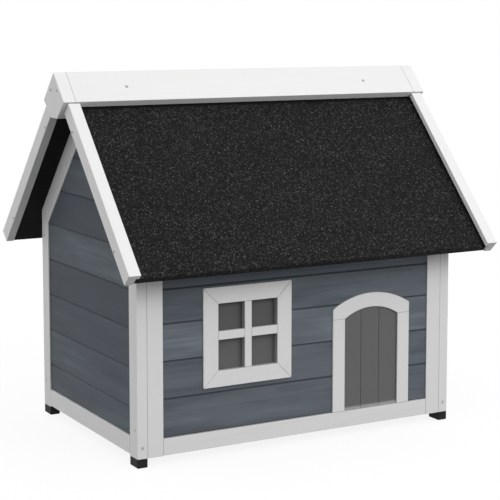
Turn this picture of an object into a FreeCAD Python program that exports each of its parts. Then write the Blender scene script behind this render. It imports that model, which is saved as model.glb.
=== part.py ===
import FreeCAD, Part
import os
import re
import math
import Sketcher

# Wooden cat house: two framed gable panels carry a framed front and back panel, a floor and a
# steep felted roof. Three flexible strips hang behind the arched doorway and swing inwards.
# Millimetres. X runs along the ridge, the front faces -Y and the feet stand on Z = 0.

# name, value, what it measures
SIZES = [
    ("body_length", 760, "outer face of one gable to the outer face of the other"),
    ("body_depth", 500.5, "front face to back face"),
    ("ridge_height", 782, "top edge of the ridge above the ground"),
    ("roof_slope", 47.16, "degrees from level"),
    ("timber_thick", 22.4, "thickness of all the framing timber"),
    ("edge_break", 0.6, "sanded bevel on every timber edge"),
    ("foot_height", 18.4, "plastic foot under each corner post"),
    ("foot_edge", 1.2, "bevel on the edges of a foot"),
    ("gable_stile_width", 36.3, "corner post, seen from the gable side"),
    ("gable_rail_height", 36.8, "bottom rail of a gable"),
    ("gable_rail_lift", 3.3, "gable rail above the top of the feet"),
    ("rafter_width", 42.5, "sloping member of a gable, square to the slope"),
    ("front_stile_width", 35.2, "upright of the front and back panels"),
    ("front_rail_height", 34.9, "bottom rail of the front and back panels"),
    ("front_rail_lift", 0.8, "front rail above the top of the feet"),
    ("top_rail_height", 36.2, "top rail of the front and back panels"),
    ("eave_clearance", 0.5, "top rail below the underside of the roof"),
    ("board_thick", 10, "wall board"),
    ("board_recess", 3, "face of the boards behind the face of the frames"),
    ("board_bevel", 2.4, "bevel along both front edges of a board"),
    ("tongue_height", 3, "tongue on the upper edge of a board"),
    ("tongue_thick", 3.2, "thickness of that tongue"),
    ("tongue_gap", 0.15, "clearance round a tongue"),
    ("groove_depth", 5, "boards let into the stiles, rafters and top rails"),
    ("groove_gap", 0.15, "clearance on each face of a board in its groove"),
    ("groove_end_gap", 0.3, "clearance at the end of a board in its groove"),
    ("front_first_cover", 78.7, "height of the lowest front board"),
    ("front_board_cover", 76.65, "height of the two front boards above it"),
    ("front_upper_cover", 70.5, "height of the front boards over those"),
    ("gable_first_cover", 58.2, "height of the lowest gable board"),
    ("gable_board_cover", 79.9, "height of the other gable boards"),
    ("floor_thick", 9, "floor sheet"),
    ("floor_drop", 3, "floor below the top of the front rail"),
    ("floor_gap", 0.3, "clearance round the floor"),
    ("bearer_size", 21, "square bearer under the floor"),
    ("cap_thick", 16.8, "ridge board"),
    ("cap_width", 80.9, "ridge board, down the slope"),
    ("ridge_felt_thick", 2, "strip of felt over the ridge, under the ridge boards"),
    ("ridge_felt_width", 62, "that strip, down each slope"),
    ("felt_thick", 2, "roofing felt"),
    ("felt_bend", 1.6, "rounding where the felt turns down over the eave"),
    ("roof_panel_thick", 12, "roof panel under the felt"),
    ("roof_run", 506, "ridge to eave, down the slope"),
    ("gable_overhang", 40.5, "roof panel beyond the gable"),
    ("barge_thick", 18.1, "barge board beyond the end of the roof panel"),
    ("barge_lip_width", 25.5, "top of a barge board, with the lip over the felt"),
    ("barge_lip_thick", 11.4, "lip of a barge board, which stays clear of the felt"),
    ("barge_drop", 0.9, "top of a barge board below the top of the ridge boards"),
    ("barge_depth", 31.3, "barge board, square to the slope"),
    ("barge_start_gap", 2.8, "barge board below the edge of the ridge block"),
    ("barge_overrun", 3.4, "barge board beyond the eave"),
    ("block_thick", 27.5, "ridge end block, along the ridge"),
    ("block_depth", 52.5, "lower sides of the ridge end block"),
    ("casing_thick", 4, "window and door casings, proud of the boards"),
    ("window_inset", 194.2, "middle of the window from the left upright of the front"),
    ("window_width", 207.2, "over the window casing"),
    ("window_height", 206.7, "over the window casing"),
    ("window_head_gap", 76, "window casing below the top rail"),
    ("window_casing_width", 34.3, "member of the window casing"),
    ("upright_bar_width", 16.6, "upright glazing bar"),
    ("cross_bar_width", 17.9, "level glazing bar"),
    ("cross_bar_rise", 3, "level glazing bar above the middle of the window"),
    ("pane_thick", 3, "pane behind the boards"),
    ("pane_margin", 12, "pane beyond the opening on every side"),
    ("hole_margin", 1, "holes in the boards beyond the edges of the casing"),
    ("door_inset", 146.2, "middle of the door from the right upright of the front"),
    ("door_opening_width", 136, "clear width between the jambs"),
    ("door_jamb_width", 29.8, "door jamb"),
    ("door_jamb_height", 200.9, "jambs, from the rail to their joint with the arched head"),
    ("door_arch_rise", 20.5, "crown of the opening above its spring"),
    ("door_shoulder", 22, "straight sides of the arched head"),
    ("door_head_rise", 29, "crown of the arched head above its shoulders"),
    ("door_hanger_cover", 13.9, "notch in the boards above the crown of the opening"),
    ("hanger_height", 9.4, "batten that the strips hang from"),
    ("hanger_end_gap", 0.3, "clearance at each end of that batten"),
    ("flap_width", 146, "the three strips together"),
    ("flap_side_gap", 1, "strips to the boards on each side"),
    ("flap_thick", 2, "flexible strip"),
    ("flap_setback", 0.5, "strips behind the back of the casing"),
    ("flap_floor_gap", 1.2, "lower ends of the strips above the rail"),
    ("middle_strip_pitch", 46.1, "from one slit to the other"),
    ("slit_shift", -1.5, "slits off the middle of the door"),
    ("slit_gap", 0.7, "slit between two strips"),
    ("hinge_gap", 0.3, "strips below their batten"),
    ("screw_radius", 1.6, "shank of a screw"),
    ("screw_length", 38, "frame screw"),
    ("cap_screw_length", 30, "screw through a ridge board"),
    ("screw_head_radius", 3.5, "head of a screw"),
    ("screw_head_height", 2, "head of a screw"),
    ("screw_sink", 0.3, "head below the face of the timber"),
    ("screw_gap", 0.12, "clearance round a fastener"),
    ("nail_radius", 1.1, "shank of a nail"),
    ("nail_head_radius", 2.8, "head of a nail"),
    ("nail_head_height", 1.2, "head of a nail"),
    ("nail_length", 40, "nail through a barge board or ridge block"),
    ("low_screw_lift", 57.6, "lower corner screws above the feet"),
    ("high_screw_drop", 56.4, "upper corner screws below the top of the front and back panels"),
    ("cap_screw_inset", 124.5, "screws of the ridge boards from their ends"),
    ("cap_screw_run", 43.4, "screws of the ridge boards down the slope"),
    ("high_nail_inset", 54.3, "upper barge nails from the top end of the board"),
    ("low_nail_inset", 75.4, "lower barge nails from the bottom end of the board"),
    ("block_nail_place", 16, "block nails from the middle"),
    ("block_nail_drop", 37, "block nails below the ridge"),
]
NAMES = {name for name, value, meaning in SIZES}
VALUES = {name: value for name, value, meaning in SIZES}

LEFT, RIGHT = -1, 1
FRONT, REAR = -1, 1

# Formulas on those sizes that several pieces share
HALF_LENGTH = "(body_length / 2)"
HALF_DEPTH = "(body_depth / 2)"
PANEL_END = "(body_length / 2 - timber_thick)"
INNER_LENGTH = "(body_length / 2 - timber_thick - front_stile_width)"
INNER_DEPTH = "(body_depth / 2 - gable_stile_width)"
FRONT_RAIL_TOP = "(foot_height + front_rail_lift + front_rail_height)"
GABLE_RAIL_TOP = "(foot_height + gable_rail_lift + gable_rail_height)"
CAP_UNDERSIDE = "(-cap_thick)"
FELT_TOP = "(-cap_thick - ridge_felt_thick)"
PANEL_FACE = "(-cap_thick - ridge_felt_thick - felt_thick)"
ROOF_UNDERSIDE = "(-cap_thick - ridge_felt_thick - felt_thick - roof_panel_thick)"
RAFTER_EDGE = "(-cap_thick - ridge_felt_thick - felt_thick - roof_panel_thick - rafter_width)"
ROOF_END = "(body_length / 2 + gable_overhang)"
BARGE_END = "(body_length / 2 + gable_overhang + barge_thick)"
BOARD_FACE = "(body_depth / 2 - board_recess)"
GABLE_BOARD_FACE = "(body_length / 2 - board_recess)"
CASING_FACE = "(body_depth / 2 - board_recess + casing_thick)"
BARGE_RUNS = ("(cap_width + barge_start_gap)", "(roof_run + barge_overrun)")
EAVE_HEIGHT = f"(ridge_height - body_depth / 2 * tan(roof_slope) + {ROOF_UNDERSIDE} / cos(roof_slope))"
PANEL_TOP_HEIGHT = f"({EAVE_HEIGHT} - eave_clearance)"
TOP_RAIL_UNDER = f"({PANEL_TOP_HEIGHT} - top_rail_height)"
WINDOW_CENTRE = f"(window_inset - {INNER_LENGTH})"
WINDOW_TOP = f"({TOP_RAIL_UNDER} - window_head_gap)"
WINDOW_SILL = f"({TOP_RAIL_UNDER} - window_head_gap - window_height)"
DOOR_CENTRE = f"({INNER_LENGTH} - door_inset)"
DOOR_SPRING = f"({FRONT_RAIL_TOP} + door_jamb_height)"
DOOR_NOTCH_TOP = f"({DOOR_SPRING} + door_arch_rise + door_hanger_cover)"
HINGE_HEIGHT = f"({DOOR_NOTCH_TOP} - hanger_height - hinge_gap - flap_thick / 2)"
HINGE_DEPTH = "(body_depth / 2 - board_recess - flap_setback - flap_thick / 2)"

doc = FreeCAD.newDocument("cat_house")
sheet = doc.addObject("Spreadsheet::Sheet", "Sizes")
nodes = []


def fill_sheet():
    """Write each driving size in its own named cell."""
    for row, (name, value, meaning) in enumerate(SIZES, start=1):
        sheet.set(f"A{row}", meaning)
        sheet.set(f"B{row}", str(value))
        sheet.setAlias(f"B{row}", name)
    doc.recompute()


def bind(thing, target, formula):
    """Tie one property of a document object to a formula on the named sizes."""
    def link(word):
        return f"Sizes.{word[0]}" if word[0] in NAMES else word[0]
    thing.setExpression(target, re.sub(r"[a-z][a-z_]*", link, str(formula)))


def node(name, thing):
    """Give a finished sub-part the name of its file."""
    thing.Label = name
    nodes.append(thing)
    return thing


# Places on the roof

def roof_point(side, run, lift):
    """Y and Z of a point so far down one slope from the ridge and so far square above its top plane."""
    y = f"{side} * (({run}) * cos(roof_slope) + ({lift}) * sin(roof_slope))"
    z = f"ridge_height - ({run}) * sin(roof_slope) + ({lift}) * cos(roof_slope)"
    return y, z


def ridge_point(lift):
    """Y and Z where a plane parallel to the slopes meets the upright plane under the ridge."""
    return "0", f"ridge_height + ({lift}) / cos(roof_slope)"


def slope_height(distance, lift):
    """Height of such a plane at a distance from the middle of the house."""
    return f"(ridge_height - ({distance}) * tan(roof_slope) + ({lift}) / cos(roof_slope))"


# Shapes

def new_sketch(body, role):
    """An empty sketch on one of the body's own origin planes."""
    plane = next(feature for feature in body.Origin.OriginFeatures if feature.Role == role)
    sketch = body.newObject("Sketcher::SketchObject", body.Name + "_outline")
    sketch.AttachmentSupport = [(plane, "")]
    sketch.MapMode = "FlatFace"
    return sketch


def draw_outline(sketch, corners):
    """A closed outline of straight sides whose corners are tied to pairs of formulas."""
    count = len(corners)
    turns = [2 * math.pi * index / count for index in range(count)]
    start = [FreeCAD.Vector(math.cos(turn), math.sin(turn), 0) for turn in turns]
    for index in range(count):
        sketch.addGeometry(Part.LineSegment(start[index], start[(index + 1) % count]), False)
    for index in range(count):
        sketch.addConstraint(Sketcher.Constraint("Coincident", index, 2, (index + 1) % count, 1))
    for index, (across, up) in enumerate(corners):
        tie_point(sketch, index, 1, across, up)


def tie_point(sketch, line, end, across, up):
    """Hold one end of a sketch line at a pair of formulas."""
    point = sketch.getPoint(line, end)
    for kind, value, formula in (("DistanceX", point.x, across), ("DistanceY", point.y, up)):
        place = sketch.addConstraint(Sketcher.Constraint(kind, -1, 1, line, end, value))
        bind(sketch, f"Constraints[{place}]", formula)


def slab(name, role, corners, start, thickness, bevel="edge_break"):
    """A flat piece with a straight-sided outline, from start along the outline's normal axis."""
    body = doc.addObject("PartDesign::Body", name)
    sketch = new_sketch(body, role)
    draw_outline(sketch, corners)
    pad = body.newObject("PartDesign::Pad", name + "_pad")
    pad.Profile = sketch
    bind(pad, "Length", thickness)
    place_on_plane(body, role, start, thickness)
    if bevel:
        doc.recompute()
        chamfer = body.newObject("PartDesign::Chamfer", name + "_bevel")
        chamfer.Base = (pad, [f"Edge{index + 1}" for index in range(len(pad.Shape.Edges))])
        bind(chamfer, "Size", bevel)
    return body


def place_on_plane(body, role, start, thickness):
    """Move a padded body so that it begins at start. The pad of an XZ outline runs towards -Y."""
    if role == "YZ_Plane":
        bind(body, "Placement.Base.x", start)
    elif role == "XZ_Plane":
        bind(body, "Placement.Base.y", f"{start} + ({thickness})")
    else:
        bind(body, "Placement.Base.z", start)


def rectangle(low_across, high_across, low_up, high_up):
    """The four corners of an upright rectangle, as formulas."""
    return [(low_across, low_up), (high_across, low_up), (high_across, high_up), (low_across, high_up)]


def box(name, low, size):
    """A plain block from its low corner."""
    block = doc.addObject("Part::Box", name)
    for target, formula in zip(("Length", "Width", "Height"), size):
        bind(block, target, formula)
    for axis, formula in zip("xyz", low):
        bind(block, f"Placement.Base.{axis}", formula)
    return block


def cut(name, base, tool):
    """The base with the tool's space taken out."""
    result = doc.addObject("Part::Cut", name)
    result.Base = base
    result.Tool = tool
    return result


def group(name, members):
    """Several separate solids as one object."""
    compound = doc.addObject("Part::Compound", name)
    compound.Links = members
    return compound


def span(side, near, far):
    """The low end of a stretch between two distances from the middle, on one side of it."""
    return f"-({far})" if side < 0 else f"{near}"


# Fasteners: each is a head and a shank, and the hole it sits in is the same with clearance

def driven_pin(name, place, axis, turn, radius, length, head_radius, head_height, sink):
    """A head and shank whose head faces out at a place, driven along a direction set by one turn."""
    parts = []
    for part, part_radius, part_length in (("shank", radius, length), ("head", head_radius, head_height)):
        cylinder = doc.addObject("Part::Cylinder", f"{name}_{part}")
        bind(cylinder, "Radius", part_radius)
        bind(cylinder, "Height", part_length)
        cylinder.Placement.Rotation = FreeCAD.Rotation(axis, 90)
        bind(cylinder, "Placement.Rotation.Angle", turn)
        parts.append(cylinder)
    fused = doc.addObject("Part::Fuse", name)
    fused.Base, fused.Tool = parts
    for cylinder in parts:
        for letter, formula in zip("xyz", place(sink)):
            bind(cylinder, f"Placement.Base.{letter}", formula)
    return fused


def fastener(name, place, axis, turn, kind, length):
    """One fastener and the hole it needs. place gives the formulas of a point so far below the face."""
    radius, head_radius, head_height = f"{kind}_radius", f"{kind}_head_radius", f"{kind}_head_height"
    pin = driven_pin(name, place, axis, turn, radius, length, head_radius, head_height, "screw_sink")
    hole = driven_pin(name + "_hole", place, axis, turn, f"{radius} + screw_gap",
                      f"{length} + screw_sink + screw_gap", f"{head_radius} + screw_gap",
                      f"{head_height} + screw_sink + screw_gap", "0")
    return pin, hole


def along_length(name, side, face, y, z, kind, length):
    """A fastener driven towards the middle from a face that looks along X."""
    def place(sink):
        return f"{side} * ({face} - ({sink}))", y, z
    return fastener(name, place, FreeCAD.Vector(0, 1, 0), -90 * side, kind, length)


def along_depth(name, side, x, face, z, kind, length):
    """A fastener driven towards the middle from a face that looks along Y."""
    def place(sink):
        return x, f"{side} * ({face} - ({sink}))", z
    return fastener(name, place, FreeCAD.Vector(1, 0, 0), 90 * side, kind, length)


def square_to_slope(name, side, x, run, kind, length):
    """A fastener driven square into one slope of the roof."""
    def place(sink):
        y, z = roof_point(side, run, f"-({sink})")
        return x, y, z
    return fastener(name, place, FreeCAD.Vector(1, 0, 0), f"180 - {side} * roof_slope", kind, length)


def make_fasteners():
    """All fasteners in their groups, and the holes that each group needs."""
    sets = {"frame_screws": [], "cap_screws": [], "barge_nails": [], "block_nails": []}
    post_middle = f"({HALF_DEPTH} - timber_thick / 2)"
    screw_heights = {"low": "foot_height + low_screw_lift", "high": f"{PANEL_TOP_HEIGHT} - high_screw_drop"}
    nail_runs = {"high": f"{BARGE_RUNS[0]} + high_nail_inset", "low": f"{BARGE_RUNS[1]} - low_nail_inset"}
    for side, side_name in ((LEFT, "left"), (RIGHT, "right")):
        for end, end_name in ((FRONT, "front"), (REAR, "rear")):
            corner = f"{side_name}_{end_name}"
            for level, height in screw_heights.items():
                sets["frame_screws"].append(along_length(
                    f"{corner}_{level}_screw", side, HALF_LENGTH, f"{end} * {post_middle}",
                    height, "screw", "screw_length"))
            sets["frame_screws"].append(along_depth(
                f"{corner}_rail_screw", end, f"{side} * ({HALF_LENGTH} - timber_thick / 2)", HALF_DEPTH,
                f"{GABLE_RAIL_TOP} - gable_rail_height / 2", "screw",
                "screw_length + gable_stile_width / 2"))
            sets["cap_screws"].append(square_to_slope(
                f"{corner}_cap_screw", end, f"{side} * ({ROOF_END} - cap_screw_inset)", "cap_screw_run",
                "screw", "cap_screw_length"))
            for level, run in nail_runs.items():
                y, z = roof_point(end, run, f"({PANEL_FACE} + {ROOF_UNDERSIDE}) / 2")
                sets["barge_nails"].append(along_length(
                    f"{corner}_{level}_nail", side, BARGE_END, y, z, "nail", "nail_length"))
            sets["block_nails"].append(along_length(
                f"{corner}_block_nail", side, f"({ROOF_END} + block_thick)", f"{end} * block_nail_place",
                "ridge_height - block_nail_drop", "nail", "nail_length"))
    for name, kinds in (("frame_screws", ["frame_screws"]), ("cap_screws", ["cap_screws"]),
                        ("roof_nails", ["barge_nails", "block_nails"])):
        node(name, group(name, [pin for kind in kinds for pin, hole in sets[kind]]))
    return {kind: group(kind + "_holes", [hole for pin, hole in pairs]) for kind, pairs in sets.items()}


# Feet and gable panels

def make_feet():
    """A plastic foot under each corner post."""
    for end, end_name in ((FRONT, "front"), (REAR, "rear")):
        for side, side_name in ((LEFT, "left"), (RIGHT, "right")):
            corners = rectangle(f"{side} * {PANEL_END}", f"{side} * {HALF_LENGTH}",
                                f"{end} * {INNER_DEPTH}", f"{end} * {HALF_DEPTH}")
            name = f"{end_name}_{side_name}_foot"
            node(name, slab(name, "XY_Plane", corners, "0", "foot_height", "foot_edge"))


def gable_wall_outline(let_in):
    """The boarded field of a gable, let into the posts and rafters by so much."""
    half = f"({INNER_DEPTH} + {let_in})"
    edge = f"({RAFTER_EDGE} + {let_in})"
    knee = slope_height(half, edge)
    return [(f"-{half}", GABLE_RAIL_TOP), (half, GABLE_RAIL_TOP), (half, knee), ridge_point(edge),
            (f"-{half}", knee)]


def make_gable(side, name, holes):
    """Posts, bottom rail and two rafters round a field of level boards."""
    start = span(side, PANEL_END, HALF_LENGTH)
    groove_thick = "(board_thick + 2 * groove_gap)"
    groove_start = span(side, f"({GABLE_BOARD_FACE} - board_thick - groove_gap)",
                        f"({GABLE_BOARD_FACE} + groove_gap)")
    groove = slab(name + "_groove", "YZ_Plane", gable_wall_outline("groove_depth"),
                  groove_start, groove_thick, None)
    knee_out = slope_height(HALF_DEPTH, ROOF_UNDERSIDE)
    knee_in = slope_height(INNER_DEPTH, RAFTER_EDGE)
    for end, end_name in ((FRONT, "front"), (REAR, "rear")):
        outer, inner = f"{end} * {HALF_DEPTH}", f"{end} * {INNER_DEPTH}"
        stile = slab(f"{name}_{end_name}_stile_blank", "YZ_Plane",
                     [(outer, "foot_height"), (outer, knee_out), (inner, knee_in), (inner, "foot_height")],
                     start, "timber_thick")
        grooved = cut(f"{name}_{end_name}_stile_grooved", stile, groove)
        node(f"{name}_{end_name}_stile",
             cut(f"{name}_{end_name}_stile", grooved, holes["frame_screws"]))
        rafter = slab(f"{name}_{end_name}_rafter_blank", "YZ_Plane",
                      [(outer, knee_out), ridge_point(ROOF_UNDERSIDE),
                       ridge_point(RAFTER_EDGE), (inner, knee_in)],
                      start, "timber_thick")
        node(f"{name}_{end_name}_rafter", cut(f"{name}_{end_name}_rafter", rafter, groove))
    rail = slab(name + "_bottom_rail_blank", "YZ_Plane",
                rectangle(f"-{INNER_DEPTH}", INNER_DEPTH, "foot_height + gable_rail_lift", GABLE_RAIL_TOP),
                start, "timber_thick")
    node(name + "_bottom_rail", cut(name + "_bottom_rail", rail, holes["frame_screws"]))


# Wall boards

def board_profile(side, face, low, high, has_groove, has_tongue):
    """Section of one board: beveled front edges, a tongue above and a groove below."""
    front = "(board_thick - tongue_thick) / 2"
    back = "(board_thick + tongue_thick) / 2"
    points = [("0", f"{low} + board_bevel"), ("0", f"{high} - board_bevel"), ("board_bevel", high)]
    if has_tongue:
        points += [(front, high), (front, f"{high} + tongue_height"),
                   (back, f"{high} + tongue_height"), (back, high)]
    points += [("board_thick", high), ("board_thick", low)]
    if has_groove:
        roof = f"{low} + tongue_height + tongue_gap"
        points += [(f"{back} + tongue_gap", low), (f"{back} + tongue_gap", roof),
                   (f"{front} - tongue_gap", roof), (f"{front} - tongue_gap", low)]
    points += [("board_bevel", low)]
    return [(f"{side} * ({face} - ({inward}))", up) for inward, up in points]


def roof_underside_height(distance):
    """Height of the underside of the roof at a distance from the middle, as a number."""
    slope = math.radians(VALUES["roof_slope"])
    layers = ("cap_thick", "ridge_felt_thick", "felt_thick", "roof_panel_thick")
    roof_build = sum(VALUES[layer] for layer in layers)
    return VALUES["ridge_height"] - distance * math.tan(slope) - roof_build / math.cos(slope)


def gable_seams():
    """Heights of the gable boards' lower edges, up to the peak of the boarded field."""
    first = VALUES["foot_height"] + VALUES["gable_rail_lift"] + VALUES["gable_rail_height"]
    peak = roof_underside_height(0) - VALUES["rafter_width"] / math.cos(math.radians(VALUES["roof_slope"]))
    room = peak - first - VALUES["gable_first_cover"]
    count = 1 + math.ceil(room / VALUES["gable_board_cover"])
    return [GABLE_RAIL_TOP] + [f"({GABLE_RAIL_TOP} + gable_first_cover + {row} * gable_board_cover)"
                               for row in range(count - 1)]


def make_gable_boards(side, name):
    """Level boards cut to the field of the gable."""
    field = slab(name + "_field", "YZ_Plane", gable_wall_outline("groove_depth - groove_end_gap"),
                 span(side, PANEL_END, HALF_LENGTH), "timber_thick", None)
    seams = gable_seams()
    peak = ridge_point(f"{RAFTER_EDGE} + groove_depth")[1]
    boards = []
    for row, low in enumerate(seams):
        last = row == len(seams) - 1
        high = f"({peak})" if last else seams[row + 1]
        profile = board_profile(side, GABLE_BOARD_FACE, low, high, row > 0, not last)
        blank = slab(f"{name}_blank_{row + 1}", "XZ_Plane", profile, f"-{HALF_DEPTH}", "body_depth", None)
        board = doc.addObject("Part::Common", f"{name}_board_{row + 1}")
        board.Base = blank
        board.Tool = field
        boards.append(board)
    node(name, group(name, boards))


def front_seams():
    """Heights of the lower edges of the front and back boards, up to the top rail."""
    tall_rows = 2
    shortest_board = 25
    eave = roof_underside_height(VALUES["body_depth"] / 2)
    limit = eave - VALUES["eave_clearance"] - VALUES["top_rail_height"] - shortest_board
    height = VALUES["foot_height"] + VALUES["front_rail_lift"] + VALUES["front_rail_height"]
    formula = FRONT_RAIL_TOP
    seams = []
    cover = "front_first_cover"
    while height < limit:
        seams.append(formula)
        height += VALUES[cover]
        formula = f"({formula} + {cover})"
        cover = "front_board_cover" if len(seams) <= tall_rows else "front_upper_cover"
    return seams


def make_long_boards(end, name, openings):
    """The level boards of the front or back panel, less its openings."""
    seams = front_seams()
    half = f"({INNER_LENGTH} + groove_depth - groove_end_gap)"
    top = f"({TOP_RAIL_UNDER} + groove_depth - groove_end_gap)"
    boards = []
    for row, low in enumerate(seams):
        last = row == len(seams) - 1
        high = top if last else seams[row + 1]
        profile = board_profile(end, BOARD_FACE, low, high, row > 0, not last)
        board = slab(f"{name}_blank_{row + 1}", "YZ_Plane", profile, f"-{half}", f"2 * {half}", None)
        if openings:
            board = cut(f"{name}_board_{row + 1}", board, openings)
        boards.append(board)
    node(name, group(name, boards))


# Front and back panels

def make_long_frame(end, name, holes):
    """Two uprights and two rails round the boards of the front or back panel."""
    start = span(end, f"({HALF_DEPTH} - timber_thick)", HALF_DEPTH)
    groove_half = f"({INNER_LENGTH} + groove_depth)"
    groove = box(name + "_groove",
                 (f"-{groove_half}",
                  span(end, f"({BOARD_FACE} - board_thick - groove_gap)", f"({BOARD_FACE} + groove_gap)"),
                  FRONT_RAIL_TOP),
                 (f"2 * {groove_half}", "board_thick + 2 * groove_gap",
                  f"{TOP_RAIL_UNDER} + groove_depth - {FRONT_RAIL_TOP}"))
    for side, side_name in ((LEFT, "left"), (RIGHT, "right")):
        outline = rectangle(f"{side} * {PANEL_END}", f"{side} * {INNER_LENGTH}", "foot_height",
                            PANEL_TOP_HEIGHT)
        stile = slab(f"{name}_{side_name}_stile_blank", "XZ_Plane", outline, start, "timber_thick")
        grooved = cut(f"{name}_{side_name}_stile_grooved", stile, groove)
        node(f"{name}_{side_name}_stile",
             cut(f"{name}_{side_name}_stile", grooved, holes["frame_screws"]))
    bottom = rectangle(f"-{INNER_LENGTH}", INNER_LENGTH, "foot_height + front_rail_lift", FRONT_RAIL_TOP)
    node(name + "_bottom_rail", slab(name + "_bottom_rail", "XZ_Plane", bottom, start, "timber_thick"))
    upper = rectangle(f"-{INNER_LENGTH}", INNER_LENGTH, TOP_RAIL_UNDER, PANEL_TOP_HEIGHT)
    rail = slab(name + "_top_rail_blank", "XZ_Plane", upper, start, "timber_thick")
    node(name + "_top_rail", cut(name + "_top_rail", rail, groove))


# Window

def window_edges():
    """Formulas of the outer and inner edges of the window casing."""
    left, right = f"({WINDOW_CENTRE} - window_width / 2)", f"({WINDOW_CENTRE} + window_width / 2)"
    low, high = WINDOW_SILL, WINDOW_TOP
    width = "window_casing_width"
    outer = (left, right, low, high)
    inner = (f"({left} + {width})", f"({right} - {width})", f"({low} + {width})", f"({high} - {width})")
    return outer, inner


def window_bars():
    """Formulas of the edges of the upright and the level glazing bar."""
    middle = f"({WINDOW_SILL} + window_height / 2 + cross_bar_rise)"
    upright = (f"({WINDOW_CENTRE} - upright_bar_width / 2)", f"({WINDOW_CENTRE} + upright_bar_width / 2)")
    level = (f"({middle} - cross_bar_width / 2)", f"({middle} + cross_bar_width / 2)")
    return upright, level


def make_window():
    """A mitred casing and three glazing bars on the boards, with one pane behind them."""
    (left, right, low, high), (in_left, in_right, in_low, in_high) = window_edges()
    upright, level = window_bars()
    face = f"-{CASING_FACE}"
    outlines = {
        "window_bottom_casing": [(left, low), (right, low), (in_right, in_low), (in_left, in_low)],
        "window_right_casing": [(right, low), (right, high), (in_right, in_high), (in_right, in_low)],
        "window_top_casing": [(right, high), (left, high), (in_left, in_high), (in_right, in_high)],
        "window_left_casing": [(left, high), (left, low), (in_left, in_low), (in_left, in_high)],
        "window_upright_bar": rectangle(upright[0], upright[1], in_low, in_high),
        "window_left_bar": rectangle(in_left, upright[0], level[0], level[1]),
        "window_right_bar": rectangle(upright[1], in_right, level[0], level[1]),
    }
    for name, outline in outlines.items():
        node(name, slab(name, "XZ_Plane", outline, face, "casing_thick"))
    pane = rectangle(f"{in_left} - pane_margin", f"{in_right} + pane_margin",
                     f"{in_low} - pane_margin", f"{in_high} + pane_margin")
    node("window_pane", slab("window_pane", "XZ_Plane", pane, f"-({BOARD_FACE} - board_thick)",
                             "pane_thick", None))


def front_openings():
    """The four window holes and the door notch that are cut through the front boards."""
    inner = window_edges()[1]
    upright, level = window_bars()
    through = (f"-({BOARD_FACE} + casing_thick)", "board_thick + 2 * casing_thick")
    cutters = []
    for column, (low_x, high_x) in enumerate(((inner[0], upright[0]), (upright[1], inner[1]))):
        for row, (low_z, high_z) in enumerate(((inner[2], level[0]), (level[1], inner[3]))):
            cutters.append(box(f"window_hole_{column}_{row}",
                               (f"{low_x} - hole_margin", through[0], f"{low_z} - hole_margin"),
                               (f"{high_x} - {low_x} + 2 * hole_margin", through[1],
                                f"{high_z} - {low_z} + 2 * hole_margin")))
    cutters.append(box("door_notch",
                       (f"{DOOR_CENTRE} - flap_width / 2 - flap_side_gap", through[0],
                        f"{FRONT_RAIL_TOP} - front_rail_height / 2"),
                       ("flap_width + 2 * flap_side_gap", through[1],
                        f"{DOOR_NOTCH_TOP} - {FRONT_RAIL_TOP} + front_rail_height / 2")))
    return group("front_openings", cutters)


# Door

def arc_between(half_width, rise, spring, centre):
    """An arc over a spring line, from its right end to its left."""
    radius = (half_width ** 2 + rise ** 2) / (2 * rise)
    middle = FreeCAD.Vector(centre, spring + rise - radius, 0)
    reach = math.asin(half_width / radius)
    circle = Part.Circle(middle, FreeCAD.Vector(0, 0, 1), radius)
    return Part.ArcOfCircle(circle, math.pi / 2 - reach, math.pi / 2 + reach)


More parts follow.
